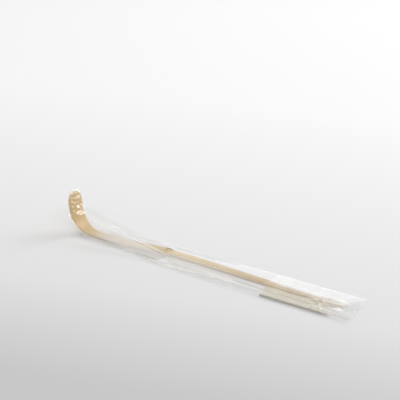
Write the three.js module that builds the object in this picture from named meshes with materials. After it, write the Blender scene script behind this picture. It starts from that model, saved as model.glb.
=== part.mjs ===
// A bamboo tea scoop packed in a clear film sleeve whose flap is folded back over its front.
// Millimetres, +Z up. The shaft runs along X, with the bent tip at -X and the handle end at +X,
// and the sleeve's back panel lies on Z = 0.
import * as THREE from "three";

// Scoop: one strip of bamboo, measured along its bent centre line from the tip
const scoopLength = 182;
const tipReach = 12; // straight stretch above the bend
const bendRadius = 13;
const bendDegrees = 82; // how far the tip is turned up from the shaft
const nodeDistance = 47; // from the foot of the bend to the bamboo node
const tipWidth = 11;
const neckWidth = 6; // at the foot of the bend
const nodeWidth = 5.4;
const handleWidth = 4.2;
const tipThickness = 1.2;
const neckThickness = 1.5;
const shaftThickness = 1.6; // beside the node
const handleThickness = 1.3;
const nodeRidge = 0.4; // how far the node's ring stands above the shaft
const nodeRidgeLength = 3;
const archRise = 1.6; // the shaft lifts off the table at the node
const archTipSide = 26;
const archHandleSide = 95;
const grooveDepth = 0.25; // natural groove of the strip, from the tip to the node
const edgeBevel = 0.35;
const handleCut = 1.2; // length of the knife cuts that narrow the handle end

// Sleeve: two film panels, their welds, and a flap held by a strip of adhesive
const film = 0.16;
const sleeveHalfWidth = 12.4; // from the middle to a panel's edge, along the shaft
const tipHalfWidth = 6.9; // the same beside the tip, where the sleeve is gathered
const closedHalfWidth = 4.6; // the same at the closed end, drawn in round the tip's end
const baseInset = 0.45; // the back panel turns up this far inside its edge
const seamLift = 0.6; // height of the panels' edges above the table
const sleeveOverhang = 8.3; // from the handle end to the mouth
const mouthHeight = 1.2; // between the panels at the mouth
const closedHeight = 0.5; // between the panels at the closed end
const tentTouch = 11; // the front panel leaves the tip this far below its end
const endMargin = 1.2; // from the tip to the panels' closed end
const weldWidth = 0.9;
const weldThickness = 0.4;
const flapLength = 49.3;
const stripWidth = 6;
const stripThickness = 0.12;
const stripInset = 5; // from the flap's free edge
const clearance = 0.3; // between neighbouring pieces

// How finely curved stretches are cut into sections
const tipSections = 7;
const bendSections = 10;
const shaftSections = 26;
const ridgeSections = 6;
const panelShaftSections = 9;
const panelTentSections = 6;
const panelBendSections = 11;

const bendTurn = THREE.MathUtils.degToRad(bendDegrees);
const shaftStart = tipReach + bendRadius * bendTurn;
const shaftLength = scoopLength - shaftStart;
const nodeStation = shaftStart + nodeDistance;
const mouthX = shaftLength + sleeveOverhang;
const tableGap = film + clearance; // the scoop's underside above the table

const lerp = THREE.MathUtils.lerp;
const smooth = (share) => THREE.MathUtils.smoothstep(share, 0, 1);
const steps = (from, to, count) => Array.from({ length: count + 1 }, (_, i) => lerp(from, to, i / count));

// Rise of the shaft at a distance from the foot of the bend, highest at the node
function archAt(x) {
  const reach = x < nodeDistance ? archTipSide : archHandleSide;
  const share = Math.min(Math.abs(x - nodeDistance) / reach, 1);
  return (archRise * (1 + Math.cos(Math.PI * share))) / 2;
}

// Ring that stands proud on the strip's upper face at the node
function ridgeAt(station) {
  const share = Math.min(Math.abs(station - nodeStation) / nodeRidgeLength, 1);
  return nodeRidge * (1 - smooth(share));
}

function thicknessAt(station) {
  if (station < shaftStart) return lerp(tipThickness, neckThickness, Math.max(station, 0) / shaftStart);
  if (station < nodeStation)
    return lerp(neckThickness, shaftThickness, (station - shaftStart) / nodeDistance);
  return lerp(shaftThickness, handleThickness, (station - nodeStation) / (scoopLength - nodeStation));
}

// Full width of the strip before its tip is rounded off
function bladeWidthAt(station) {
  if (station < tipReach) return tipWidth;
  if (station < shaftStart)
    return lerp(tipWidth, neckWidth, smooth((station - tipReach) / (shaftStart - tipReach)));
  if (station < nodeStation) return lerp(neckWidth, nodeWidth, (station - shaftStart) / nodeDistance);
  return lerp(nodeWidth, handleWidth, (station - nodeStation) / (scoopLength - nodeStation));
}

// The tip's end is half an ellipse as long as half its width
function widthAt(station) {
  const round = tipWidth / 2;
  const short = Math.max(round - station, 0) / round;
  const cut = Math.max(station - (scoopLength - handleCut), 0);
  return bladeWidthAt(station) * Math.sqrt(Math.max(1 - short * short, 0)) - cut;
}

// Point of the strip's centre line, with the direction that its upper face looks in
function spineAt(station) {
  const beyond = Math.max(tipReach - station, 0);
  const turn = THREE.MathUtils.clamp((shaftStart - station) / bendRadius, 0, bendTurn);
  const x = Math.max(station - shaftStart, 0);
  const foot = tableGap + thicknessAt(Math.max(station, shaftStart)) / 2 + archAt(x);
  return {
    x: x - bendRadius * Math.sin(turn) - beyond * Math.cos(turn),
    z: foot + bendRadius * (1 - Math.cos(turn)) + beyond * Math.sin(turn),
    up: new THREE.Vector2(Math.sin(turn), Math.cos(turn)),
  };
}

// A closed solid through a row of sections that runs from +X to the tip.
// Each section has an upper and a lower line with as many points, from -Y to +Y.
// Both faces are split along the same diagonals, so that a thin band never crosses itself.
function bandGeometry(sections) {
  const rings = sections.map(({ upper, lower }) => [...upper, ...lower.toReversed()]);
  const size = rings[0].length;
  const last = (rings.length - 1) * size;
  const index = [];
  const quad = (a, b, c, d) => index.push(a, b, c, a, c, d);
  for (let ring = 0; ring < last; ring += size) {
    for (let i = 0; i < size; i++) {
      const next = (i + 1) % size;
      const [a, b, c, d] = [ring + i, ring + next, ring + size + next, ring + size + i];
      const onLeft = Math.min(i, size - 2 - i) < size / 4 - 1;
      if (i < size / 2 === onLeft) quad(a, b, c, d);
      else quad(b, c, d, a);
    }
  }
  for (let i = 0; i + 1 < size / 2; i++) {
    const under = size - 1 - i;
    quad(i, under, under - 1, i + 1);
    quad(last + i, last + i + 1, last + under - 1, last + under);
  }
  const geometry = new THREE.BufferGeometry().setFromPoints(rings.flat());
  geometry.setIndex(index);
  geometry.computeVertexNormals();
  return geometry;
}

// A section's point, given across the strip or sleeve and up from its origin
function placed({ x, z, up }, across, height) {
  return new THREE.Vector3(x + up.x * height, across, z + up.y * height);
}

// Section of the strip: bevelled edges, a groove on the upper face and a rounder back
function scoopSection(station) {
  const half = widthAt(station) / 2;
  const bevel = Math.min(edgeBevel, half / 2);
  const back = thicknessAt(station) / 2;
  const front = back + ridgeAt(station);
  const groove = station < nodeStation - nodeRidgeLength ? grooveDepth : 0;
  const at = spineAt(station);
  const line = (points) => points.map(([across, height]) => placed(at, across, height));
  return {
    upper: line([
      [-half, front - bevel],
      [bevel - half, front],
      [0, front - groove],
      [half - bevel, front],
      [half, front - bevel],
    ]),
    lower: line([
      [-half, bevel - back],
      [2 * bevel - half, -back],
      [0, -back],
      [half - 2 * bevel, -back],
      [half, bevel - back],
    ]),
  };
}

// Sections lie closer at the rounded tip, in the bend and at the node's ring
function scoopStations() {
  const round = tipWidth / 2;
  const tip = steps(0, Math.PI / 2, tipSections).map((turn) => round * (1 - Math.cos(turn)));
  const stations = [
    ...tip.slice(1),
    ...steps(tipReach, shaftStart, bendSections),
    ...steps(shaftStart, scoopLength - handleCut, shaftSections),
    ...steps(nodeStation - nodeRidgeLength, nodeStation + nodeRidgeLength, ridgeSections),
    scoopLength,
  ];
  const sorted = stations.sort((a, b) => b - a);
  return sorted.filter((station, i) => i === 0 || sorted[i - 1] - station > clearance / 2);
}

const scoopGeometry = () => bandGeometry(scoopStations().map(scoopSection));

// Distance from the strip's centre line to the middle of a panel that lies against it
const hug = (station) => thicknessAt(station) / 2 + clearance + film / 2;

function offsetPoint(station, height) {
  const { x, z, up } = spineAt(station);
  return new THREE.Vector2(x + up.x * height, z + up.y * height);
}

// Section of the sleeve between a point of its back panel and one of its front panel.
// base and ridge are the half widths of the flat of each panel, and edge is that of the sleeve.
function sleeveSection(backPoint, frontPoint, { base, ridge, edge, seam }) {
  const up = frontPoint.clone().sub(backPoint);
  const height = up.length();
  return { x: backPoint.x, z: backPoint.y, up: up.normalize(), height, base, ridge, edge, seam };
}

// Along the shaft the back panel lies on the table and the front panel lies on the scoop
function shaftSection(x) {
  const station = Math.min(shaftStart + x, scoopLength);
  const past = Math.max(x - shaftLength - clearance, 0) / (sleeveOverhang - clearance);
  const over = offsetPoint(station, hug(station) + ridgeAt(station)).y;
  const back = new THREE.Vector2(x, film / 2);
  const front = new THREE.Vector2(x, lerp(over, film / 2 + mouthHeight, past));
  return sleeveSection(back, front, {
    base: sleeveHalfWidth - baseInset,
    ridge: bladeWidthAt(station) / 2,
    edge: sleeveHalfWidth,
    seam: seamLift,
  });
}

// From the node to the tip the front panel is a tent, and the back panel follows the bend
function tentSection(station) {
  const share = (nodeStation - station) / (nodeStation - tentTouch);
  const from = offsetPoint(nodeStation, hug(nodeStation) + nodeRidge);
  const to = offsetPoint(tentTouch, hug(tentTouch));
  const back = offsetPoint(station, -hug(station));
  const front = from.lerp(to, share);
  const narrowing = 1 - (1 - share) * (1 - share);
  if (station > shaftStart) back.y = film / 2;
  return sleeveSection(back, front, {
    base: lerp(sleeveHalfWidth - baseInset, tipWidth / 2, narrowing),
    ridge: lerp(nodeWidth / 2, tipWidth / 2, share),
    edge: lerp(sleeveHalfWidth, tipHalfWidth, share),
    seam: lerp(seamLift, front.distanceTo(back) / 2, share),
  });
}

// Above the tent both panels lie against the tip, draw in along its rounded end and close beyond it
function tipSection(station, reach) {
  const half = tipWidth / 2;
  const inset = lerp(0, tipHalfWidth - closedHalfWidth, (half - station) / (half + endMargin));
  return sleeveSection(offsetPoint(station, -reach), offsetPoint(station, reach), {
    base: half - inset,
    ridge: half - inset,
    edge: tipHalfWidth - inset,
    seam: reach,
  });
}

const overScoop = steps(shaftLength, nodeDistance, panelShaftSections);
const shaftPlaces = [mouthX, shaftLength + clearance, ...overScoop];
const alongShaft = shaftPlaces.map(shaftSection);
const alongTent = [
  ...steps(nodeStation, shaftStart, panelTentSections).slice(1),
  ...steps(shaftStart, tentTouch, panelBendSections).slice(1),
].map(tentSection);
const closedEnd = [
  tipSection(tipWidth / 2, hug(tipWidth / 2)),
  tipSection(0, hug(0)),
  tipSection(-clearance, hug(0)),
  tipSection(-endMargin, closedHeight / 2),
];
const sleeveSections = [...alongShaft, ...alongTent, ...closedEnd];

// Normal of a sheet at one point of its rows, long enough to keep the sheet's thickness at a fold
function sheetNormal(rows, row, column) {
  const normals = [];
  for (const i of [row - 1, row]) {
    for (const j of [column - 1, column]) {
      const [a, b, c, d] = [rows[i]?.[j], rows[i]?.[j + 1], rows[i + 1]?.[j + 1], rows[i + 1]?.[j]];
      if (!a || !b || !c || !d) continue;
      const across = b.clone().sub(a).add(c).sub(d);
      const along = d.clone().sub(a).add(c).sub(b);
      normals.push(across.cross(along).normalize());
    }
  }
  const middle = new THREE.Vector3();
  normals.forEach((normal) => middle.add(normal));
  middle.normalize();
  const spread = normals.reduce((sum, normal) => sum + normal.dot(middle), 0) / normals.length;
  return middle.divideScalar(spread);
}

// A sheet through the sleeve's sections, whose half line across each is given by outline
function sheetGeometry(sections, outline, thickness) {
  const rows = sections.map((section) => {
    const half = outline(section);
    const other = half.toReversed().map(([across, height]) => [-across, height]);
    return [...other, ...half].map(([across, height]) => placed(section, across, height));
  });
  const moved = (distance) =>
    rows.map((points, row) =>
      points.map((point, column) => point.clone().addScaledVector(sheetNormal(rows, row, column), distance)),
    );
  const upper = moved(thickness / 2);
  const lower = moved(-thickness / 2);
  return bandGeometry(rows.map((_, row) => ({ upper: upper[row], lower: lower[row] })));
}

// The two panels end this far above and below the seam
const seamGap = (film + clearance) / 2;

const backOutline = ({ base, edge, seam }) => [
  [base, 0],
  [edge, seam - seamGap],
];

// A sheet that lies over the front panel, at a height above it
const frontOutline = (above) => ({ ridge, edge, seam, height }) => [
  [ridge, height + above],
  [edge, seam + seamGap + above],
];

// Heat weld along one side of the sleeve, just outside the panels' edges
function sideWeldGeometry(side) {
  return bandGeometry(
    sleeveSections.map((section) => {
      const inner = section.edge + clearance + film / 2;
      const ends = [inner, inner + weldWidth].map((across) => side * across).sort((a, b) => a - b);
      const line = (height) => ends.map((across) => placed(section, across, section.seam + height));
      return { upper: line(weldThickness / 2), lower: line(-weldThickness / 2) };
    }),
  );
}

function endWeldGeometry() {
  const start = -endMargin - clearance;
  return bandGeometry(
    [start, start - weldWidth].map((station) => {
      const ends = [-closedHalfWidth, closedHalfWidth];
      const line = (height) => ends.map((across) => placed(spineAt(station), across, height));
      return { upper: line(weldThickness / 2), lower: line(-weldThickness / 2) };
    }),
  );
}

// Sections of what lies over the front panel between two places along the shaft
function overSections(from, to) {
  const between = shaftPlaces.filter((x) => x < from - clearance && x > to + clearance);
  return [from, ...between, to].map(shaftSection);
}

const stripAbove = film / 2 + clearance + stripThickness / 2;
const flapAbove = film + 2 * clearance + stripThickness;
const flapFreeX = mouthX - flapLength;
const stripStart = flapFreeX + stripInset + stripWidth;

function flapGeometry() {
  return sheetGeometry(overSections(mouthX, flapFreeX), frontOutline(flapAbove), film);
}

function adhesiveGeometry() {
  const sections = overSections(stripStart, stripStart - stripWidth);
  return sheetGeometry(sections, frontOutline(stripAbove), stripThickness);
}

const bamboo = () => new THREE.MeshStandardMaterial({ color: 0xd2ab6c, roughness: 0.38, metalness: 0 });

function clearFilm(opacity) {
  const look = { color: 0xf2f4f4, roughness: 0.08, metalness: 0 };
  return new THREE.MeshStandardMaterial({ ...look, transparent: true, opacity });
}

function pieceMesh(name, geometry, material) {
  const mesh = new THREE.Mesh(geometry, material);
  mesh.name = name;
  return mesh;
}

const model = new THREE.Group();
model.add(
  pieceMesh("scoop", scoopGeometry(), bamboo()),
  pieceMesh("sleeve_back_film", sheetGeometry(sleeveSections, backOutline, film), clearFilm(0.15)),
  pieceMesh("sleeve_front_film", sheetGeometry(sleeveSections, frontOutline(0), film), clearFilm(0.15)),
  pieceMesh("near_side_weld", sideWeldGeometry(-1), clearFilm(0.4)),
  pieceMesh("far_side_weld", sideWeldGeometry(1), clearFilm(0.4)),
  pieceMesh("end_weld", endWeldGeometry(), clearFilm(0.4)),
  pieceMesh("sleeve_flap", flapGeometry(), clearFilm(0.2)),
  pieceMesh("flap_adhesive_strip", adhesiveGeometry(), clearFilm(0.5)),
);

// The origin is under the middle of the packed scoop's length
const bounds = new THREE.Box3().setFromObject(model);
model.position.x = -(bounds.min.x + bounds.max.x) / 2;

export default model;
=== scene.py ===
import math

import bmesh
import bpy
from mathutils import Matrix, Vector, noise


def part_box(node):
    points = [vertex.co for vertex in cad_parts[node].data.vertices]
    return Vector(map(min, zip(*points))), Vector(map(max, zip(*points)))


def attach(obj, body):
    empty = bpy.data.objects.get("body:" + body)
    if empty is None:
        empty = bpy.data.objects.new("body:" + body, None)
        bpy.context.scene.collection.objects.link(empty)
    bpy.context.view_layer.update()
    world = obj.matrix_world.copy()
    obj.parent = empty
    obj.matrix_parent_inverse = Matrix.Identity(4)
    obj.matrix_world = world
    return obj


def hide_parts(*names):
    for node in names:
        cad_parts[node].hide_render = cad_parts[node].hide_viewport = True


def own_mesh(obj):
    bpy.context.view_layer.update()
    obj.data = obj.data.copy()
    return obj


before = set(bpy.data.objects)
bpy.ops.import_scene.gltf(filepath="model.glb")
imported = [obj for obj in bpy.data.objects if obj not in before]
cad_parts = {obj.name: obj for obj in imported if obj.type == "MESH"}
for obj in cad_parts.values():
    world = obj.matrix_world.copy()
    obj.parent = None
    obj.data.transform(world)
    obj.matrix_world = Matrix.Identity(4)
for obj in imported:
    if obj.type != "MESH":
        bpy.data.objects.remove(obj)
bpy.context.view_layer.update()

scoopShape = {  # lengths are along the bent strip, from its tip
    "length": 0.182,
    "tipReach": 0.012,  # straight stretch above the bend
    "bendRadius": 0.013,
    "bendDegrees": 82,
    "nodeDistance": 0.047,  # from the foot of the bend to the node
    "tipWidth": 0.011,
    "neckWidth": 0.006,
    "nodeWidth": 0.0054,
    "handleWidth": 0.0042,
    "tipThickness": 0.0012,
    "neckThickness": 0.0015,
    "shaftThickness": 0.0016,
    "handleThickness": 0.0013,
    "nodeRidge": 0.0004,
    "nodeRidgeLength": 0.003,
    "ridgeCrown": 0.35,  # share by which the ridge is higher in the middle
    "ridgeBack": 0.5,  # share of the ridge that shows on the back
    "archRise": 0.0016,  # the shaft lifts off the table at the node
    "archTipSide": 0.026,
    "archHandleSide": 0.095,
    "grooveDepth": 0.00022,
    "grooveStop": 0.012,  # the groove starts to die out this far before the node
    "grooveFade": 0.009,
    "backRounding": 0.4,  # share of the half thickness that the back loses at its edges
    "backPower": 3,
    "edgeBevel": 0.00028,
    "bevelAngle": 0.75,  # radians: sharper edges than this are bevelled
    "handleCut": 0.0012,
    "edgeWander": 0.00009,  # how far the knife strayed along the edges
    "wanderLength": 0.017,
    "wanderSeeds": (3.7, 0.4),
    "rows": 150,
    "rowShares": (0.14, 0.34, 0.5, 0.62, 0.97),  # up to the bend, its foot, the node's two sides and the cut
    "columns": 8,
}

sleeveShape = {  # a pair is where a change starts and how wide it is
    "film": 0.00016,
    "clearance": 0.0003,
    "halfWidth": 0.0124,
    "tipHalfWidth": 0.0069,
    "closedHalfWidth": 0.0046,
    "baseInset": 0.00045,
    "seamLift": 0.0006,
    "overhang": 0.0083,
    "mouthHeight": 0.0012,
    "closedHeight": 0.0005,
    "closingPower": 6,  # how late it closes past the tip
    "endMargin": 0.0012,
    "tentTouch": 0.0108,
    "tentSlack": 3,  # it is taut from a third of the tent on
    "tentDrape": 1.15,  # stretched nearly straight over the bend
    "weldWidth": 0.00128,
    "tipWeld": 0.45,  # share of that width beside the tip
    "weldWiden": (0.01, 0.03),
    "weldDroop": 0.6,  # slope of the far weld where it hangs beside the tent
    "droopSeam": (0.001, 0.002),  # height of the seam where it hangs
    "foldSoftness": 0.07,  # rounds the fold where the front panel leaves the scoop
    "crown": 0.0008,  # it bows up over the shaft
    "crownStart": 0.012,  # length from the node in which the bow rises
    "lean": -1.5,  # where it is highest, as a share of the shaft's half width
    "crownFall": 0.3,  # how soon it comes down again past that
    "shoulder": 0.0012,  # how far it stands out past the shaft's near side
    "fallSlope": 0.55,  # on the near side it falls steeply and lies down flat
    "leastFall": 0.0004,
    "layDown": 0.25,  # how gently it lies down
    "nearDraw": 0.0032,  # how far the near edge is drawn in between the bend and the handle
    "drawStart": (0.024, 0.026),
    "drawEnd": (0.062, 0.08),
    "rows": 460,
    "tipRows": 0.27,  # share of the rows over the tip
    "shaftRows": 0.76,  # share of the rows up to the crumples at the mouth
    "columns": 64,
    "weldColumns": 3,
    "endRows": 4,
    "endColumns": 24,
    "emptyKeep": 0.22,  # share of its height that the empty sleeve keeps
}

bendTurn = math.radians(scoopShape["bendDegrees"])
shaftStart = scoopShape["tipReach"] + scoopShape["bendRadius"] * bendTurn
shaftLength = scoopShape["length"] - shaftStart
nodeStation = shaftStart + scoopShape["nodeDistance"]
tableGap = sleeveShape["film"] + sleeveShape["clearance"]
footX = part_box("scoop")[1][0] - shaftLength  # foot of the bend
nodeX = footX + scoopShape["nodeDistance"]
mouthStation = scoopShape["length"] + sleeveShape["overhang"]


def mix(a, b, share):
    return a + (b - a) * share


def clamp(value, low=0.0, high=1.0):
    return max(low, min(high, value))


def smooth(share):
    share = clamp(share)
    return share * share * (3 - 2 * share)


def rising(value, start, width):
    return smooth((value - start) / width)


def fading(value, start, width):
    return 1 - smooth((value - start) / width)


def between(marks, share):
    for (a, low), (b, high) in zip(marks, marks[1:]):
        if share <= b:
            return mix(low, high, (share - a) / (b - a))
    return marks[-1][1]


# Strip of bamboo: its centre line, thickness and width at a station from the tip

def archAt(along):
    side = "archTipSide" if along < scoopShape["nodeDistance"] else "archHandleSide"
    share = min(abs(along - scoopShape["nodeDistance"]) / scoopShape[side], 1)
    return scoopShape["archRise"] * (1 + math.cos(math.pi * share)) / 2


def ridgeAt(station):
    return scoopShape["nodeRidge"] * fading(abs(station - nodeStation), 0, scoopShape["nodeRidgeLength"])


def thicknessAt(station):
    s = scoopShape
    if station < shaftStart:
        return mix(s["tipThickness"], s["neckThickness"], max(station, 0) / shaftStart)
    if station < nodeStation:
        return mix(s["neckThickness"], s["shaftThickness"], (station - shaftStart) / s["nodeDistance"])
    share = (station - nodeStation) / (s["length"] - nodeStation)
    return mix(s["shaftThickness"], s["handleThickness"], share)


def widthAt(station):
    s = scoopShape
    if station < s["tipReach"]:
        return s["tipWidth"]
    if station < shaftStart:
        share = smooth((station - s["tipReach"]) / (shaftStart - s["tipReach"]))
        return mix(s["tipWidth"], s["neckWidth"], share)
    if station < nodeStation:
        return mix(s["neckWidth"], s["nodeWidth"], (station - shaftStart) / s["nodeDistance"])
    return mix(s["nodeWidth"], s["handleWidth"], (station - nodeStation) / (s["length"] - nodeStation))


def spineAt(station):
    # a point of the centre line, and the direction out of the strip's skin
    s = scoopShape
    turn = clamp((shaftStart - station) / s["bendRadius"], 0, bendTurn)
    beyond = max(s["tipReach"] - station, 0)
    along = max(station - shaftStart, 0)
    foot = tableGap + thicknessAt(max(station, shaftStart)) / 2 + archAt(along)
    x = along - s["bendRadius"] * math.sin(turn) - beyond * math.cos(turn)
    z = foot + s["bendRadius"] * (1 - math.cos(turn)) + beyond * math.sin(turn)
    return Vector((footX + x, 0, z)), Vector((math.sin(turn), 0, math.cos(turn)))


def rowStation(share):
    # rows lie closer at the tip, in the bend and at the node
    s = scoopShape
    ridge = s["nodeRidgeLength"]
    cut = s["length"] - s["handleCut"]
    stations = (s["tipReach"], shaftStart, nodeStation - ridge, nodeStation + ridge, cut)
    return between([(0, 0), *zip(s["rowShares"], stations), (1, s["length"])], share)


def newPiece(name, bm, material):
    mesh = bpy.data.meshes.new(name)
    for face in bm.faces:
        face.smooth = True
    bm.to_mesh(mesh)
    bm.free()
    piece = bpy.data.objects.new(name, mesh)
    bpy.context.scene.collection.objects.link(piece)
    mesh.materials.append(material)
    return piece


def makeScoop(material):
    s = scoopShape
    bm = bmesh.new()
    bmesh.ops.create_grid(bm, x_segments=s["rows"], y_segments=s["columns"], size=1)
    made = bmesh.ops.extrude_face_region(bm, geom=bm.faces[:])
    lower = [v for v in made["geom"] if isinstance(v, bmesh.types.BMVert)]
    bmesh.ops.translate(bm, verts=lower, vec=(0, 0, -1))
    skin = bm.verts.layers.float.new("skin")  # 1 on the bamboo's own skin, 0 on the carved back
    radius = s["tipWidth"] / 2
    apart, seed = s["wanderSeeds"]
    for v in bm.verts:
        station = rowStation((v.co.x + 1) / 2)
        across = v.co.y
        onSkin = v.co.z > -0.5
        v[skin] = 1.0 if onSkin else 0.0
        spread = across
        if station < radius:  # the square end of the grid becomes the round tip
            end = (radius - station) / radius
            spread = across * math.sqrt(1 - end * end / 2)
            station = radius - radius * end * math.sqrt(1 - across * across / 2)
        side = 1 if across > 0 else -1
        wander = noise.noise(Vector((station / s["wanderLength"], side * apart, seed))) * s["edgeWander"]
        cut = max(station - (s["length"] - s["handleCut"]), 0) / 2
        half = widthAt(station) / 2 - cut + wander
        back = thicknessAt(station) / 2
        ridge = ridgeAt(station)
        if onSkin:
            grooved = fading(station, nodeStation - s["grooveStop"], s["grooveFade"])
            height = back + ridge - s["grooveDepth"] * grooved * (1 - across * across)
            height += s["ridgeCrown"] * ridge * (1 - across * across)
        else:
            rounded = 1 - s["backRounding"] * abs(across) ** s["backPower"]
            height = -back * rounded - s["ridgeBack"] * ridge
        middle, up = spineAt(station)
        v.co = middle + up * height + Vector((0, half * spread, 0))
    bmesh.ops.recalc_face_normals(bm, faces=bm.faces[:])
    rim = [e for e in bm.edges if e.calc_face_angle(0) > s["bevelAngle"]]
    bmesh.ops.bevel(bm, geom=rim, offset=s["edgeBevel"], offset_type="OFFSET", segments=3, profile=0.5,
                    affect="EDGES", material=-1, clamp_overlap=True)
    piece = newPiece("bambooScoop", bm, material)
    finer = piece.modifiers.new("finer", "SUBSURF")
    finer.levels = finer.render_levels = 1
    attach(piece, "scoop")
    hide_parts("scoop")
    return piece


# Sleeve: a section at each station, between a point of the back panel and one of the front panel

def hug(station):
    return thicknessAt(station) / 2 + sleeveShape["clearance"] + sleeveShape["film"] / 2


def offsetPoint(station, height):
    middle, up = spineAt(station)
    return middle + up * height


def sleeveAt(station):
    # base and ridge are the half widths of the flat middles, edge is that of the seam
    s = sleeveShape
    tipHalf = scoopShape["tipWidth"] / 2
    onTable = s["film"] / 2
    openBase = s["halfWidth"] - s["baseInset"]
    if station >= nodeStation:
        inside = min(station, scoopShape["length"])
        past = max(station - scoopShape["length"] - s["clearance"], 0) / (s["overhang"] - s["clearance"])
        x = footX + station - shaftStart
        over = offsetPoint(inside, hug(inside) + ridgeAt(inside)).z
        return {
            "back": Vector((x, 0, onTable)),
            "front": Vector((x, 0, mix(over, onTable + s["mouthHeight"], smooth(past)))),
            "base": openBase,
            "ridge": widthAt(inside) / 2,
            "edge": s["halfWidth"],
            "seam": s["seamLift"],
            "slack": 1 - smooth(past),
        }
    if station >= s["tentTouch"]:
        share = (nodeStation - station) / (nodeStation - s["tentTouch"])
        fromNode = offsetPoint(nodeStation, hug(nodeStation) + scoopShape["nodeRidge"])
        toTip = offsetPoint(s["tentTouch"], hug(s["tentTouch"]))
        back = offsetPoint(station, -hug(station))
        front = fromNode.lerp(toTip, share)
        if station > shaftStart:
            back.z = onTable
        return {
            "back": back,
            "front": front,
            "base": mix(openBase, tipHalf, 1 - (1 - share) ** 2),
            "ridge": mix(scoopShape["nodeWidth"] / 2, tipHalf, share),
            "edge": mix(s["halfWidth"], s["tipHalfWidth"], share),
            "seam": mix(s["seamLift"], (front - back).length / 2, share),
            "slack": 1 - smooth(share * s["tentSlack"]),
        }
    closing = clamp((-station - s["clearance"]) / (s["endMargin"] - s["clearance"])) ** s["closingPower"]
    reach = mix(hug(max(station, 0)), s["closedHeight"] / 2, closing)
    drawn = clamp((tipHalf - station) / (tipHalf + s["endMargin"]))
    inset = (s["tipHalfWidth"] - s["closedHalfWidth"]) * drawn
    return {
        "back": offsetPoint(station, -reach),
        "front": offsetPoint(station, reach),
        "base": tipHalf - inset,
        "ridge": tipHalf - inset,
        "edge": s["tipHalfWidth"] - inset,
        "seam": reach,
        "slack": 0,
    }


def softRamp(share):
    # a straight rise from 0 to 1 whose foot is rounded
    soft = sleeveShape["foldSoftness"]
    rise = math.sqrt(share * share + soft * soft) - soft
    return rise / (math.sqrt(1 + soft * soft) - soft)


def layDown(share, steep):
    # a steep straight fall that bends out flat, from 0 to 1
    soft = sleeveShape["layDown"] ** 2

    def bent(fall):
        return (fall + 1 - math.sqrt((fall - 1) ** 2 + soft)) / 2

    return (bent(share * steep) - bent(0)) / (bent(steep) - bent(0))


def drawnAt(station):
    s = sleeveShape
    return s["nearDraw"] * rising(station, *s["drawStart"]) * fading(station, *s["drawEnd"])


def filmPoint(station, across, above, front=True):
    s = sleeveShape
    at = sleeveAt(station)
    up = at["front"] - at["back"]
    height = up.length
    up.normalize()
    drawn = drawnAt(station) if across < 0 else 0
    edge = at["edge"] - drawn
    reach = abs(across) * edge
    sideways = Vector((0, math.copysign(reach, across), 0))
    flat = at["ridge"] if front else at["base"] - drawn
    if front and across < 0:
        flat += s["shoulder"] * at["slack"]
    share = softRamp(clamp((reach - flat) / (edge - flat)))
    if not front:
        return at["back"] + up * mix(0, at["seam"], share) + sideways
    if across < 0:  # on the far side it runs straight down
        straight = 1 - (1 - share) ** s["tentDrape"]
        steep = max(s["fallSlope"] * (edge - flat) / max(height - at["seam"], s["leastFall"]), 1)
        share = mix(straight, layDown(share, steep), at["slack"])
    off = math.copysign(reach, across) / at["ridge"] - s["lean"]
    off /= 1 - s["lean"] if off > 0 else s["crownFall"]
    bow = s["crown"] * at["slack"] * rising(station, nodeStation, s["crownStart"]) * max(1 - off * off, 0)
    return at["back"] + up * (mix(height, at["seam"], share) + above + bow) + sideways


# Crumples, square to the sheet. A pair is where a change starts and how wide it is,
# and a grain is the scale of a noise across and along the sheet, with its seed.
crumple = {
    "facetTurn": (0.87, 0.5),  # cosine and sine
    "seed": 4,  # of the straying creases, which differ from run to run without it
    "bias": 0.45,  # how far the creases stray from a regular grid
    "biasScale": 0.7,
    "biasSeed": 4.1,
    "tipCell": 0.0015,
    "tipHeight": 0.0002,
    "pleat": 0.0026,  # distance between the pleats across the tip
    "pleatHeight": 0.0015,
    "pleatRise": 0.65,  # share of a pleat that faces up
    "pleatSlant": 150,  # on the near side they run up and outwards
    "slantStart": 0.001,
    "pleatStart": 0.002,  # length from the closed end in which they rise
    "pleatReach": 0.011,  # they end where the tent leaves the tip
    "pleatFade": 0.0025,
    "pleatFar": 0.003,  # how far they reach to the far and the near side
    "pleatNear": 0.0041,
    "sideFade": 0.002,
    "pleatStray": 0.4,
    "pleatGrain": (150, 60, 2.2),
    "depth": 0.98,  # pleats are not all equally deep
    "depthSpread": 0.8,
    "depthRange": (0.3, 1.2),
    "depthGrain": (170, 170, 6.6),
    "tuckHeight": 0.00115,  # of the pleats at the head of the tent, which face the other way
    "tuckFall": 0.66,
    "tuckStart": 0.0012,
    "tuckReach": 0.0185,
    "tuckFade": 0.004,
    "tuckFar": (-0.0012, 0.002),
    "tuckNear": (0.005, 0.001),
    "tuckStray": 0.9,
    "tuckGrain": (220, 90, 8.3),
    "nearSide": (-0.004, 0.008),  # the tent, the waves and the mouth are crumpled most there
    "tentCell": 0.005,
    "tentHeight": 0.0005,
    "tentMiddle": 0.045,
    "tentReach": 0.03,
    "tentFar": 0.1,  # share of that height on the far side
    "waveLength": 0.021,
    "waveWidth": 0.0048,
    "waveSeed": 1.9,
    "waveHeight": 0.00022,
    "waveFar": 0.3,
    "waveEnd": 0.004,
    "mouthCell": 0.0017,
    "mouthHeight": 0.0011,
    "mouthSink": 0.4,  # share of that height by which the film may dip
    "mouthReach": 0.0255,
    "mouthMiddle": 0.0165,
    "held": (0.86, 0.14),  # shares of the half width, flat beside the welds
}
noise.seed_set(crumple["seed"])


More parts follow.
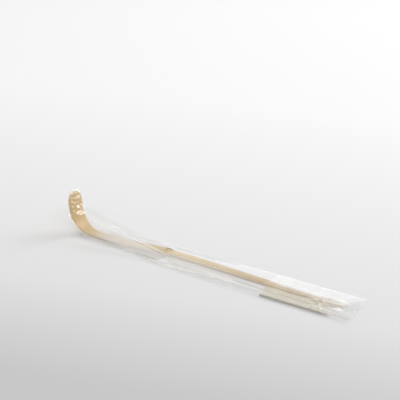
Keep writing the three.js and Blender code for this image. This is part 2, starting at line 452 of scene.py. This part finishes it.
def facetAt(x, y, cell):
    # flat facets with sharp creases, between points at random heights from -1 to 1
    c = crumple
    cosine, sine = c["facetTurn"]
    u = (cosine * x + sine * y) / cell
    v = (cosine * y - sine * x) / cell
    stray = noise.noise_vector(Vector((u * c["biasScale"], v * c["biasScale"], c["biasSeed"])))
    u += c["bias"] * stray.x
    v += c["bias"] * stray.y
    column = math.floor(u)
    row = math.floor(v)
    u -= column
    v -= row
    corners = [Vector((column + i + 0.5, row + j + 0.5, 0.5)) for j in (0, 1) for i in (0, 1)]
    low, right, up, far = (noise.cell(corner) for corner in corners)
    if u + v < 1:
        return low + (right - low) * u + (up - low) * v
    return far + (up - far) * (1 - u) + (right - far) * (1 - v)


def grainAt(grain, station, across):
    acrossScale, alongScale, seed = grain
    return noise.noise(Vector((across * acrossScale, station * alongScale, seed)))


def sawtooth(fold, rise):
    # up from 0 to 1 in the share rise of each fold, and down in the rest
    fold -= math.floor(fold)
    return min(fold / rise, (1 - fold) / (1 - rise))


def tipMask(station, across):
    c = crumple
    mask = fading(station, c["pleatReach"], c["pleatFade"])
    mask *= rising(station, -sleeveShape["endMargin"], c["pleatStart"])
    return mask * fading(max(across - c["pleatFar"], -across - c["pleatNear"]), 0, c["sideFade"])


def tuckMask(station, across):
    c = crumple
    mask = rising(station, c["pleatReach"], c["tuckStart"])
    mask *= fading(station, c["tuckReach"] - c["tuckFade"], c["tuckFade"])
    return mask * rising(-across, *c["tuckFar"]) * fading(-across, *c["tuckNear"])


def liftAt(station, across):
    c = crumple
    tip = tipMask(station, across)
    near = rising(-across, *c["nearSide"])
    deep = clamp(c["depth"] + c["depthSpread"] * grainAt(c["depthGrain"], station, across), *c["depthRange"])

    lift = tip * c["tipHeight"] * facetAt(station, across, c["tipCell"])
    fold = station / c["pleat"] + c["pleatStray"] * grainAt(c["pleatGrain"], station, across)
    fold -= c["pleatSlant"] * min(across + c["slantStart"], 0)
    lift += tip * deep * c["pleatHeight"] * sawtooth(fold, c["pleatRise"])
    fold = station / c["pleat"] + c["tuckStray"] * grainAt(c["tuckGrain"], station, across)
    lift += tuckMask(station, across) * deep * c["tuckHeight"] * sawtooth(fold, 1 - c["tuckFall"])

    tent = fading(abs(station - c["tentMiddle"]), 0, c["tentReach"])
    lift += tent * mix(c["tentFar"], 1, near) * c["tentHeight"] * facetAt(station, across, c["tentCell"])
    fromMiddle = abs(station - mouthStation + c["mouthMiddle"])
    mouth = fading(fromMiddle, 0, c["mouthReach"] - c["mouthMiddle"])
    facet = max(facetAt(station, across, c["mouthCell"]), -c["mouthSink"])
    lift += mouth * near * c["mouthHeight"] * facet

    wave = noise.noise(Vector((station / c["waveLength"], across / c["waveWidth"], c["waveSeed"])))
    inside = rising(mouthStation - station, 0, c["waveEnd"])
    return lift + c["waveHeight"] * mix(c["waveFar"], 1, near) * abs(wave) * (1 - tip) * inside


def crumpleAt(station, across):
    held = fading(abs(across), *crumple["held"])
    return held * liftAt(station, across * sleeveAt(station)["edge"])


def makeSheet(name, rows, columns, place, material, turned=False, shadowPaint=None, veil=None, lift=None):
    bm = bmesh.new()
    bmesh.ops.create_grid(bm, x_segments=rows, y_segments=columns, size=1)
    paintedShade = bm.verts.layers.float.new("paintedShade")  # painted shade: dark where shadow falls along the film's edges and beside the shaft
    milkAndSheen = bm.verts.layers.float.new("milkAndSheen")  # milky cream on the flap, and painted sheen on the front panel that lightens the shade beside and under the shaft
    grid = [(v, (v.co.x + 1) / 2, v.co.y) for v in bm.verts]
    for v, along, across in grid:
        v[paintedShade] = shadowPaint(along, across) if shadowPaint else 0.0
        v[milkAndSheen] = veil(along, across) if veil else 0.0
        v.co = place(along, across)
    if lift:
        bm.normal_update()
        for v, along, across in grid:
            v.co += v.normal * lift(along, across)
    if turned:
        bmesh.ops.reverse_faces(bm, faces=bm.faces[:])
    return newPiece(name, bm, material)


def rideSleeve(piece, node):
    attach(piece, "sleeve")
    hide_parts(node)
    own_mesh(piece)
    return piece


def filmStation(along):
    # rows lie closer where the film is crumpled, over the tip and at the mouth
    s = sleeveShape
    return between([(0, -s["endMargin"]), (s["tipRows"], crumple["tuckReach"]),
                    (s["shaftRows"], mouthStation - crumple["mouthReach"]), (1, mouthStation)], along)


# Painted shade and painted sheen on the panels. A pair is where a change starts and how wide it is,
# as a station or as a share of the half width.
filmMarks = {
    "shadowPaint": 0.45,  # painted shadow along the near edge, where it is drawn together and turns up to the tip
    "shadowStart": (0.023, 0.006),
    "shadowEnd": (0.042, 0.02),
    "shadowEdge": (0.9, 0.1),
    "shadeLine": 0.6,  # painted shade: a dark line beside the shaft runs on from under the flap
    "shadeLinePlace": 0.535,
    "shadeLineWidth": 0.06,
    "shadeLineStart": (0.1215, 0.004),
    "shadeLineEnd": (0.142, 0.004),
    "tent": 0.58,  # painted sheen whitens the near side of the tent
    "tentStart": (0.02, 0.026),
    "tentEnd": (0.064, 0.022),
    "beside": 0.62,  # and the film beside the shaft
    "besideStart": (0.03, 0.02),
    "besideEdge": (0.62, 0.24),
    "innerEdge": (0.48, 0.22),  # inner edge of both, at the bend and past it
    "innerChange": (0.03, 0.04),
    "innerWidth": 0.2,
    "underStart": (0.026, 0.018),  # and a band below it
    "underEnd": (0.076, 0.016),
    "underInner": (0.46, 0.14),
    "underOuter": (0.96, 0.8),
    "outerChange": (0.054, 0.016),
    "outerWidth": 0.14,
    "handle": 0.7,  # and the film over the handle's end
    "handleStart": (0.15, 0.026),
    "handlePlace": 0.18,
    "handleEdge": (0.24, 0.15),
    "topStart": (0.14, 0.02),
    "topNear": (-0.15, 0.1),
    "topFar": (0.3, 0.2),
    "handleStop": 0.004,
}


# painted shadow along the near edge beside the bend
def nearShadowAt(station):
    m = filmMarks
    return m["shadowPaint"] * rising(station, *m["shadowStart"]) * fading(station, *m["shadowEnd"])


# painted shade: a dark line beside the shaft
def shadeLineAt(station, across):
    m = filmMarks
    line = m["shadeLine"] * fading(abs(across + m["shadeLinePlace"]), 0, m["shadeLineWidth"])
    return line * rising(station, *m["shadeLineStart"]) * fading(station, *m["shadeLineEnd"])


# painted sheen that whitens the film and lightens the shade beside and under the shaft
def paintedSheenAt(station, across):
    m = filmMarks
    near = -across
    tent = m["tent"] * rising(station, *m["tentStart"]) * fading(station, *m["tentEnd"])
    beside = m["beside"] * rising(station, *m["besideStart"]) * fading(near, *m["besideEdge"])
    inner = mix(*m["innerEdge"], rising(station, *m["innerChange"]))
    side = max(tent, beside) * rising(near, inner, m["innerWidth"])
    under = rising(station, *m["underStart"]) * fading(station, *m["underEnd"])
    outer = mix(*m["underOuter"], rising(station, *m["outerChange"]))
    under *= rising(near, *m["underInner"]) * fading(near, outer, m["outerWidth"])
    end = rising(station, *m["handleStart"]) * fading(abs(near - m["handlePlace"]), *m["handleEdge"])
    top = rising(station, *m["topStart"]) * rising(across, *m["topNear"]) * fading(across, *m["topFar"])
    handle = m["handle"] * max(end, top) * fading(station, scoopShape["length"], m["handleStop"])
    return max(side, under, handle)


def makePanels(material):
    s = sleeveShape

    def backPoint(along, across):
        return filmPoint(filmStation(along), across, 0, front=False)

    def frontPoint(along, across):
        return filmPoint(filmStation(along), across, 0)

    def paintedShade(along, across):
        station = filmStation(along)
        rim = nearShadowAt(station) * rising(-across, *filmMarks["shadowEdge"])
        return max(rim, shadeLineAt(station, across))

    def milkAndSheen(along, across):
        return paintedSheenAt(filmStation(along), across)

    def crumpled(along, across):
        return crumpleAt(filmStation(along), across)

    back = makeSheet("backFilm", s["rows"], s["columns"], backPoint, material, turned=True)
    front = makeSheet("frontFilm", s["rows"], s["columns"], frontPoint, material,
                      shadowPaint=paintedShade, veil=milkAndSheen, lift=crumpled)
    rideSleeve(back, "sleeve_back_film")
    rideSleeve(front, "sleeve_front_film")
    return back, front


def makeWelds(material):
    s = sleeveShape

    def sideStrip(along, across, side):
        station = filmStation(along)
        at = sleeveAt(station)
        up = (at["front"] - at["back"]).normalized()
        drawn = drawnAt(station) if side < 0 else 0
        wide = s["weldWidth"] * mix(s["tipWeld"], 1, rising(station, *s["weldWiden"]))
        beyond = wide * (1 + across) / 2
        droop = s["weldDroop"] * rising(at["seam"], *s["droopSeam"]) if side > 0 else 0
        sideways = Vector((0, side * (at["edge"] - drawn + beyond), 0))
        return at["back"] + up * (at["seam"] - droop * beyond) + sideways

    def nearStrip(along, across):
        return sideStrip(along, across, -1)

    def farStrip(along, across):
        return sideStrip(along, across, 1)

    def endStrip(along, across):
        middle, _ = spineAt(mix(-s["endMargin"] - s["weldWidth"], -s["endMargin"], along))
        return middle + Vector((0, s["closedHalfWidth"] * across, 0))

    # the near weld carries the same painted shadow
    def paintedShade(along, across):
        return nearShadowAt(filmStation(along))

    near = makeSheet("nearWeld", s["rows"], s["weldColumns"], nearStrip, material,
                     turned=True, shadowPaint=paintedShade)
    far = makeSheet("farWeld", s["rows"], s["weldColumns"], farStrip, material)
    end = makeSheet("endWeld", s["endRows"], s["endColumns"], endStrip, material)
    return [rideSleeve(near, "near_side_weld"), rideSleeve(far, "far_side_weld"),
            rideSleeve(end, "end_weld")]


# Flap over the front panel. A pair is where a change starts and how wide it is, as a share.
flapShape = {
    "length": 0.0493,
    "above": 0.0004,  # over the front panel
    "rows": 120,
    "columns": 64,
    "openHeight": 0.00365,  # where the flap flattens to before it turns over
    "openKeep": 0.04,
    "lipWidth": 0.07,  # share of the half width that turns down at each side
    "lipDrop": 0.0003,
    "creaseRows": 10,
    "creaseBulge": 0.0002,
    "creaseKeep": 0.05,
    "stripWidth": 0.006,
    "stripInset": 0.005,
    "stripAbove": 0.0003,
    "stripSpan": 0.985,  # share of the flap's width
    "stripRows": 14,
    "shadeEdge": (0.85, 0.05),  # painted shadow: dark along the near edge, where it stands off the table
    "shadeEnd": (0.7, 0.18),
    "line": 0.5,  # and a painted dark line beside the shaft
    "linePlace": 0.48,
    "lineEdge": (0.06, 0.1),
    "lineEnd": (0.45, 0.25),
    "creamEdge": (0.15, 0.2),  # its near side is cream
    "creamEnd": (0.65, 0.22),  # but not as far as the mouth
}


def makeFlap(film, adhesive):
    f = flapShape
    freeStation = mouthStation - f["length"]
    stripStart = freeStation + f["stripInset"]
    mouth = sleeveAt(mouthStation)

    def flapStation(along):
        return mix(freeStation, mouthStation, along)

    def flapPoint(along, across):
        drop = f["lipDrop"] * rising(abs(across), 1 - f["lipWidth"], f["lipWidth"])
        return filmPoint(flapStation(along), across, f["above"] - drop)

    # painted shadow along the flap's near edge and beside the shaft
    def flapShadeAt(along, across):
        rim = rising(-across, *f["shadeEdge"]) * fading(along, *f["shadeEnd"])
        line = f["line"] * fading(abs(across + f["linePlace"]), *f["lineEdge"]) * fading(along, *f["lineEnd"])
        return max(rim, line)

    def creamAt(along, across):
        return rising(-across, *f["creamEdge"]) * fading(along, *f["creamEnd"])

    def flapCrumple(along, across):
        return crumpleAt(flapStation(along), across)

    def stripStation(along):
        return stripStart + f["stripWidth"] * along

    def stripPoint(along, across):
        return filmPoint(stripStation(along), across * f["stripSpan"], f["stripAbove"])

    def stripCrumple(along, across):
        return crumpleAt(stripStation(along), across)

    def creasePoint(along, across):
        low = filmPoint(mouthStation, across, 0, front=False)
        high = filmPoint(mouthStation, across, f["above"])
        turn = math.pi * along
        bulge = f["creaseBulge"] * math.sin(turn)
        return low.lerp(high, (1 - math.cos(turn)) / 2) + Vector((bulge, 0, 0))

    flap = makeSheet("flapFilm", f["rows"], f["columns"], flapPoint, film,
                     shadowPaint=flapShadeAt, veil=creamAt, lift=flapCrumple)
    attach(flap, "flap")
    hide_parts("sleeve_flap")
    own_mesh(flap)

    strip = makeSheet("adhesiveStrip", f["stripRows"], f["columns"], stripPoint, adhesive, lift=stripCrumple)
    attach(strip, "flap")
    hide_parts("flap_adhesive_strip")
    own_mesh(strip)

    fold = makeSheet("flapCrease", f["creaseRows"], f["columns"], creasePoint, film)
    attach(fold, "sleeve")
    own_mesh(fold)
    return flap, strip


# Materials

def newMaterial(name):
    material = bpy.data.materials.new(name)
    material.use_nodes = True
    material.node_tree.nodes.clear()
    return material, material.node_tree


def addNode(tree, kind, **values):
    node = tree.nodes.new(kind)
    for key, value in values.items():
        setattr(node, key, value)
    return node


def addMath(tree, operation, first, second=0.5):
    node = addNode(tree, "ShaderNodeMath", operation=operation)
    for socket, value in zip(node.inputs, (first, second)):
        if isinstance(value, (int, float)):
            socket.default_value = value
        else:
            tree.links.new(value, socket)
    return node.outputs[0]


def addRange(tree, value, fromLow, fromHigh, toLow=0.0, toHigh=1.0):
    node = addNode(tree, "ShaderNodeMapRange", interpolation_type="SMOOTHSTEP")
    for key, number in (("From Min", fromLow), ("From Max", fromHigh), ("To Min", toLow), ("To Max", toHigh)):
        node.inputs[key].default_value = number
    tree.links.new(value, node.inputs["Value"])
    return node.outputs["Result"]


def addNoise(tree, vector, scale, detail=2.0, roughness=0.5):
    mapping = addNode(tree, "ShaderNodeMapping")
    mapping.inputs["Scale"].default_value = scale
    tree.links.new(vector, mapping.inputs["Vector"])
    grain = addNode(tree, "ShaderNodeTexNoise")
    grain.inputs["Scale"].default_value = 1
    grain.inputs["Detail"].default_value = detail
    grain.inputs["Roughness"].default_value = roughness
    tree.links.new(mapping.outputs["Vector"], grain.inputs["Vector"])
    return grain.outputs["Fac"]


def addColour(tree, share, first, second):
    node = addNode(tree, "ShaderNodeMix", data_type="RGBA")
    sockets = {s.name: s for s in node.inputs if s.type == "RGBA"}
    for socket, value in ((sockets["A"], first), (sockets["B"], second)):
        if isinstance(value, tuple):
            socket.default_value = (*value, 1)
        else:
            tree.links.new(value, socket)
    tree.links.new(share, node.inputs[0])
    return next(s for s in node.outputs if s.type == "RGBA")


def addSurface(tree, shader):
    out = addNode(tree, "ShaderNodeOutputMaterial")
    tree.links.new(shader.outputs[0], out.inputs["Surface"])


bambooLook = {  # a range is from low, from high, and to low and to high if they aren't 0 and 1
    "gold": (0.57, 0.41, 0.165),
    "pale": (0.67, 0.525, 0.28),
    "paleRange": (0.42, 0.7),
    "dark": (0.44, 0.27, 0.085),
    "darkRange": (0.58, 0.78, 0, 0.55),
    "flesh": (0.70, 0.54, 0.28),  # the carved back
    "fleshRange": (0.6, 0.2, 0, 0.65),
    "toast": (0.62, 0.395, 0.12),  # where the strip was heated to bend it
    "toastReach": (0.004, -0.012),  # from the foot of the bend
    "toastPatches": (0.3, 0.7, 0.3, 0.85),
    "handle": (0.42, 0.25, 0.06),  # it darkens towards the handle, and less again at its end
    "handleReach": (0, 0.065),  # from the node
    "handleShare": 0.8,
    "endReach": (0.075, 0.1),
    "endShare": 0.35,
    "nodeWobble": 0.0016,
    "bloomRange": (0.0035, 0.0008, 0, 0.4),  # pale beside the node
    "ring": (0.12, 0.055, 0.02),
    "ringRange": (0.0006, 0.0002),
    "ringSides": (-0.002, 0.003, 0.3, 0.9),
    "farPatchSide": (0.0013, 0.0021),  # a darker patch at the node's far side
    "farPatchShift": 0.0002,
    "farPatchRange": (0.0042, 0.0012, 0, 0.85),
    "fibres": (60, 2600, 900),  # across the strip they are fine, along it long
    "streaks": (22, 640, 60),
    "patches": (35, 35, 35),
    "roughRange": (0.2, 0.8, 0.26, 0.52),
    "fleshRough": (0.6, 0.2, 0, 0.2),
    "coat": 0.12,
    "coatRoughness": 0.25,
    "bumpStrength": 0.35,
    "bumpDistance": 0.00008,
    "ringDepth": 1.5,
}


def makeBamboo():
    look = bambooLook
    material, tree = newMaterial("goldenBamboo")
    place = addNode(tree, "ShaderNodeTexCoord").outputs["Object"]
    parts = addNode(tree, "ShaderNodeSeparateXYZ")
    tree.links.new(place, parts.inputs[0])
    x = parts.outputs["X"]
    y = parts.outputs["Y"]
    fibres = addNoise(tree, place, look["fibres"], detail=3, roughness=0.6)
    streaks = addNoise(tree, place, look["streaks"])
    patches = addNoise(tree, place, look["patches"])
    skin = addNode(tree, "ShaderNodeAttribute", attribute_name="skin").outputs["Fac"]

    colour = addColour(tree, addRange(tree, streaks, *look["paleRange"]), look["gold"], look["pale"])
    colour = addColour(tree, addRange(tree, fibres, *look["darkRange"]), colour, look["dark"])
    colour = addColour(tree, addRange(tree, skin, *look["fleshRange"]), colour, look["flesh"])
    bend = addRange(tree, x, *(footX + reach for reach in look["toastReach"]))
    warm = addMath(tree, "MULTIPLY", bend, addRange(tree, patches, *look["toastPatches"]))
    colour = addColour(tree, warm, colour, look["toast"])
    shaft = addRange(tree, x, *(nodeX + reach for reach in look["handleReach"]), 0, look["handleShare"])
    end = addRange(tree, x, *(nodeX + reach for reach in look["endReach"]), 1, look["endShare"])
    colour = addColour(tree, addMath(tree, "MULTIPLY", shaft, end), colour, look["handle"])

    wobble = addMath(tree, "MULTIPLY", addMath(tree, "SUBTRACT", patches, 0.5), look["nodeWobble"])
    fromNode = addMath(tree, "ADD", addMath(tree, "SUBTRACT", x, nodeX), wobble)
    away = addMath(tree, "ABSOLUTE", fromNode)
    colour = addColour(tree, addRange(tree, away, *look["bloomRange"]), colour, look["pale"])
    ring = addRange(tree, away, *look["ringRange"])
    ring = addMath(tree, "MULTIPLY", ring, addRange(tree, y, *look["ringSides"]))
    colour = addColour(tree, ring, colour, look["ring"])
    fromFarPatch = addMath(tree, "ABSOLUTE", addMath(tree, "SUBTRACT", fromNode, look["farPatchShift"]))
    farPatch = addRange(tree, fromFarPatch, *look["farPatchRange"])
    farPatch = addMath(tree, "MULTIPLY", addRange(tree, y, *look["farPatchSide"]), farPatch)
    colour = addColour(tree, farPatch, colour, look["ring"])

    rough = addMath(tree, "ADD", addRange(tree, fibres, *look["roughRange"]),
                    addRange(tree, skin, *look["fleshRough"]))
    bump = addNode(tree, "ShaderNodeBump")
    bump.inputs["Strength"].default_value = look["bumpStrength"]
    bump.inputs["Distance"].default_value = look["bumpDistance"]
    height = addMath(tree, "SUBTRACT", fibres, addMath(tree, "MULTIPLY", ring, look["ringDepth"]))
    tree.links.new(height, bump.inputs["Height"])
    shader = addNode(tree, "ShaderNodeBsdfPrincipled")
    shader.inputs["Coat Weight"].default_value = look["coat"]
    shader.inputs["Coat Roughness"].default_value = look["coatRoughness"]
    tree.links.new(colour, shader.inputs["Base Color"])
    tree.links.new(rough, shader.inputs["Roughness"])
    tree.links.new(bump.outputs["Normal"], shader.inputs["Normal"])
    addSurface(tree, shader)
    return material


filmLook = {
    "mirrorHeadOn": 0.077,  # both faces of the film together
    "mirrorPower": 3.7,
    "roughness": 0.07,
    "waves": (300, 420, 300),
    "waveStrength": 0.12,
    "waveDistance": 0.0004,
    "patches": (55, 170, 55),  # scuffs
    "patchRange": (0.4, 0.75),
    "scratches": (120, 1500, 400),
    "scratchRange": (0.35, 0.7, 0.4, 1),
    "milkRoughness": 0.6,
    "edge": (0.30, 0.285, 0.23),  # painted shade: dark greenish colour where shadow falls along the film's edges
    # how much the painted shade covers the film, and how much of its mirror it leaves
    "edgeCover": 0.8,
    "edgeMirror": 0.15,
}

filmKinds = {  # scuffs, even haze and its colour, and how thick and of what tint the milky places are, which on the clear film are painted sheen
    "clearFilm": {"scuff": 0.05, "base": 0.015, "haze": (0.93, 0.94, 0.94),
                  "veil": 0.62, "tint": (0.92, 0.90, 0.87)},
    "weldedEdge": {"scuff": 0.10, "base": 0.06, "haze": (0.86, 0.87, 0.87)},
    "foldedFilm": {"scuff": 0.05, "base": 0.02, "haze": (0.93, 0.94, 0.94),
                   "veil": 0.14, "tint": (0.92, 0.77, 0.40)},
    "clearGum": {"scuff": 0.10, "base": 0.10, "haze": (0.90, 0.87, 0.78)},
}


def makeFilmWear():
    # scuffs that whiten the film, and the fine waviness of its surface
    look = filmLook
    tree = bpy.data.node_groups.new("filmWear", "ShaderNodeTree")
    for name, way in (("Scuff", "INPUT"), ("Base", "INPUT"), ("Haze", "OUTPUT"), ("Waviness", "OUTPUT")):
        tree.interface.new_socket(name, in_out=way, socket_type="NodeSocketFloat")
    given = addNode(tree, "NodeGroupInput")
    place = addNode(tree, "ShaderNodeTexCoord").outputs["Object"]
    patches = addNoise(tree, place, look["patches"], detail=3)
    scratches = addNoise(tree, place, look["scratches"])
    worn = addMath(tree, "MULTIPLY", addRange(tree, patches, *look["patchRange"]),
                   addRange(tree, scratches, *look["scratchRange"]))
    worn = addMath(tree, "MULTIPLY", worn, given.outputs["Scuff"])
    haze = addMath(tree, "ADD", worn, given.outputs["Base"])
    waves = addNoise(tree, place, look["waves"])
    out = addNode(tree, "NodeGroupOutput")
    tree.links.new(haze, out.inputs["Haze"])
    tree.links.new(waves, out.inputs["Waviness"])
    return tree


def makeFilm(name, wear, scuff, base, haze, veil=0, tint=(0.93, 0.94, 0.94)):
    look = filmLook
    material, tree = newMaterial(name)
    worn = addNode(tree, "ShaderNodeGroup", node_tree=wear)
    worn.inputs["Scuff"].default_value = scuff
    worn.inputs["Base"].default_value = base
    paintedShade = addNode(tree, "ShaderNodeAttribute", attribute_name="paintedShade").outputs["Fac"]
    milkAndSheen = addNode(tree, "ShaderNodeAttribute", attribute_name="milkAndSheen").outputs["Fac"]

    slant = addNode(tree, "ShaderNodeLayerWeight")
    slant.inputs["Blend"].default_value = 0.5
    mirror = addMath(tree, "POWER", slant.outputs["Facing"], look["mirrorPower"])
    mirror = addMath(tree, "MULTIPLY", mirror, 1 - look["mirrorHeadOn"])
    mirror = addMath(tree, "ADD", mirror, look["mirrorHeadOn"])
    # painted shade darkens the film and dims its mirror
    mirror = addMath(tree, "MULTIPLY", mirror, addRange(tree, paintedShade, 0, 1, 1, look["edgeMirror"]))

    milk = addNode(tree, "ShaderNodeBsdfPrincipled")
    milk.inputs["Roughness"].default_value = look["milkRoughness"]
    milk.inputs["Specular IOR Level"].default_value = 0
    colour = addColour(tree, milkAndSheen, haze, tint)
    tree.links.new(addColour(tree, paintedShade, colour, look["edge"]), milk.inputs["Base Color"])
    cover = addMath(tree, "ADD", worn.outputs["Haze"], addMath(tree, "MULTIPLY", milkAndSheen, veil))
    cover = addMath(tree, "MAXIMUM", cover, addMath(tree, "MULTIPLY", paintedShade, look["edgeCover"]))
    tree.links.new(cover, milk.inputs["Alpha"])

    bump = addNode(tree, "ShaderNodeBump")
    bump.inputs["Strength"].default_value = look["waveStrength"]
    bump.inputs["Distance"].default_value = look["waveDistance"]
    tree.links.new(worn.outputs["Waviness"], bump.inputs["Height"])
    gloss = addNode(tree, "ShaderNodeBsdfGlossy")
    gloss.inputs["Color"].default_value = (1, 1, 1, 1)
    gloss.inputs["Roughness"].default_value = look["roughness"]
    tree.links.new(bump.outputs["Normal"], gloss.inputs["Normal"])

    sheet = addNode(tree, "ShaderNodeMixShader")
    for source, socket in zip((mirror, milk.outputs[0], gloss.outputs[0]), sheet.inputs):
        tree.links.new(source, socket)
    addSurface(tree, sheet)
    return material


# Floor, light and camera

viewpoint = {
    "azimuth": 30.65,
    "elevation": 26,
    "distance": 0.5804,
    "target": (-0.00375, 0, 0.03962),
    "lens": 100,
    "nearest": 0.01,
}


def towardsCamera():
    turn = math.radians(viewpoint["azimuth"])
    return Vector((math.sin(turn), -math.cos(turn), 0))


def makeCamera():
    lift = math.radians(viewpoint["elevation"])
    target = Vector(viewpoint["target"])
    away = towardsCamera() * math.cos(lift) + Vector((0, 0, math.sin(lift)))
    place = target + viewpoint["distance"] * away
    data = bpy.data.cameras.new("camera")
    data.lens = viewpoint["lens"]
    data.clip_start = viewpoint["nearest"]
    camera = bpy.data.objects.new("camera", data)
    camera.location = place
    camera.rotation_euler = (target - place).to_track_quat("-Z", "Y").to_euler()
    bpy.context.scene.collection.objects.link(camera)
    bpy.context.scene.camera = camera


floorLook = {
    "size": 5,
    "leftward": 0.27,  # painted shade: it darkens to the left as well as towards the camera
    "paintedShades": (  # distance towards the camera, and the floor's painted shade there
        (-1.2, 0.99), (-0.5, 0.985), (-0.25, 0.95), (-0.08, 0.845), (0.035, 0.765), (0.12, 0.58), (0.6, 0.56),
    ),
}


def makeFloor():
    material, tree = newMaterial("paleFloor")
    place = addNode(tree, "ShaderNodeTexCoord").outputs["Object"]
    along = addNode(tree, "ShaderNodeVectorMath", operation="DOT_PRODUCT")
    tree.links.new(place, along.inputs[0])
    near = towardsCamera()
    along.inputs[1].default_value = near + Vector((near.y, -near.x, 0)) * floorLook["leftward"]
    # the floor's colour carries painted shade, falling off towards the camera and to the left
    paintedShades = floorLook["paintedShades"]
    low, high = paintedShades[0][0], paintedShades[-1][0]
    share = addNode(tree, "ShaderNodeMapRange")
    share.inputs["From Min"].default_value = low
    share.inputs["From Max"].default_value = high
    tree.links.new(along.outputs["Value"], share.inputs["Value"])
    ramp = addNode(tree, "ShaderNodeValToRGB")
    stops = ramp.color_ramp.elements
    while len(stops) < len(paintedShades):
        stops.new(0.5)
    for stop, (distance, shade) in zip(stops, paintedShades):
        stop.position = (distance - low) / (high - low)
        stop.color = (shade, shade, shade, 1)
    tree.links.new(share.outputs["Result"], ramp.inputs["Fac"])
    shader = addNode(tree, "ShaderNodeBsdfDiffuse")
    tree.links.new(ramp.outputs["Color"], shader.inputs["Color"])
    addSurface(tree, shader)
    bm = bmesh.new()
    bmesh.ops.create_grid(bm, x_segments=2, y_segments=2, size=floorLook["size"] / 2)
    floor = newPiece("floor", bm, material)


lamps = {  # place, size and radiance of each soft box
    "top": {"place": (-0.51, 0, 1.2), "size": (0.55, 0.9), "radiance": 2},
    "back": {"place": (-0.6, 1.4, 0.36), "size": (1.8, 0.7), "radiance": 0.36},
    "window": {"place": (0.71, 1.2, 0.87), "size": (0.95, 0.62), "radiance": 4.8},
    "front": {"place": (0.55, -0.95, 1.25), "size": (1.5, 0.8), "radiance": 2.05},
}


def makeLamps():
    for name, lamp in lamps.items():
        data = bpy.data.lights.new(name, "AREA")
        data.shape = "RECTANGLE"
        data.size, data.size_y = lamp["size"]
        data.energy = lamp["radiance"] * math.pi * data.size * data.size_y
        box = bpy.data.objects.new(name, data)
        box.location = lamp["place"]
        box.rotation_euler = (-Vector(lamp["place"])).to_track_quat("-Z", "Y").to_euler()
        bpy.context.scene.collection.objects.link(box)


skyLook = {
    "fill": 0.62,
    "horizon": 0.85,  # the white backdrop
    "top": 0.8,
    "change": (0.36, 0.5),  # heights between which one turns into the other
    "layers": 32,  # a ray may cross several layers of film
}


def makeSky():
    world = bpy.data.worlds.new("studio")
    bpy.context.scene.world = world
    world.use_nodes = True
    tree = world.node_tree
    tree.nodes.clear()
    direction = addNode(tree, "ShaderNodeTexCoord").outputs["Generated"]
    parts = addNode(tree, "ShaderNodeSeparateXYZ")
    tree.links.new(direction, parts.inputs[0])
    shade = addRange(tree, parts.outputs["Z"], *skyLook["change"], skyLook["horizon"], skyLook["top"])
    fill = addNode(tree, "ShaderNodeBackground")
    fill.inputs["Strength"].default_value = skyLook["fill"]
    backdrop = addNode(tree, "ShaderNodeBackground")
    tree.links.new(shade, backdrop.inputs["Color"])
    path = addNode(tree, "ShaderNodeLightPath")
    seen = addMath(tree, "MAXIMUM", path.outputs["Is Camera Ray"], path.outputs["Is Glossy Ray"])
    seen = addMath(tree, "MAXIMUM", seen, path.outputs["Is Transmission Ray"])
    choice = addNode(tree, "ShaderNodeMixShader")
    for source, socket in zip((seen, fill.outputs[0], backdrop.outputs[0]), choice.inputs):
        tree.links.new(source, socket)
    out = addNode(tree, "ShaderNodeOutputWorld")
    tree.links.new(choice.outputs[0], out.inputs["Surface"])


makeCamera()
makeFloor()
makeLamps()
makeSky()
scene = bpy.context.scene
scene.view_settings.view_transform = "Standard"
scene.cycles.transparent_max_bounces = skyLook["layers"]
print("stage: camera, floor, lamps and sky")

scoop = makeScoop(makeBamboo())
print("scoop:", len(scoop.data.polygons), "faces before subdivision")

wear = makeFilmWear()
films = {name: makeFilm(name, wear, **kind) for name, kind in filmKinds.items()}
backFilm, frontFilm = makePanels(films["clearFilm"])
welds = makeWelds(films["weldedEdge"])
flapFilm, adhesiveStrip = makeFlap(films["foldedFilm"], films["clearGum"])
print("sleeve: panels, welds, flap and adhesive")
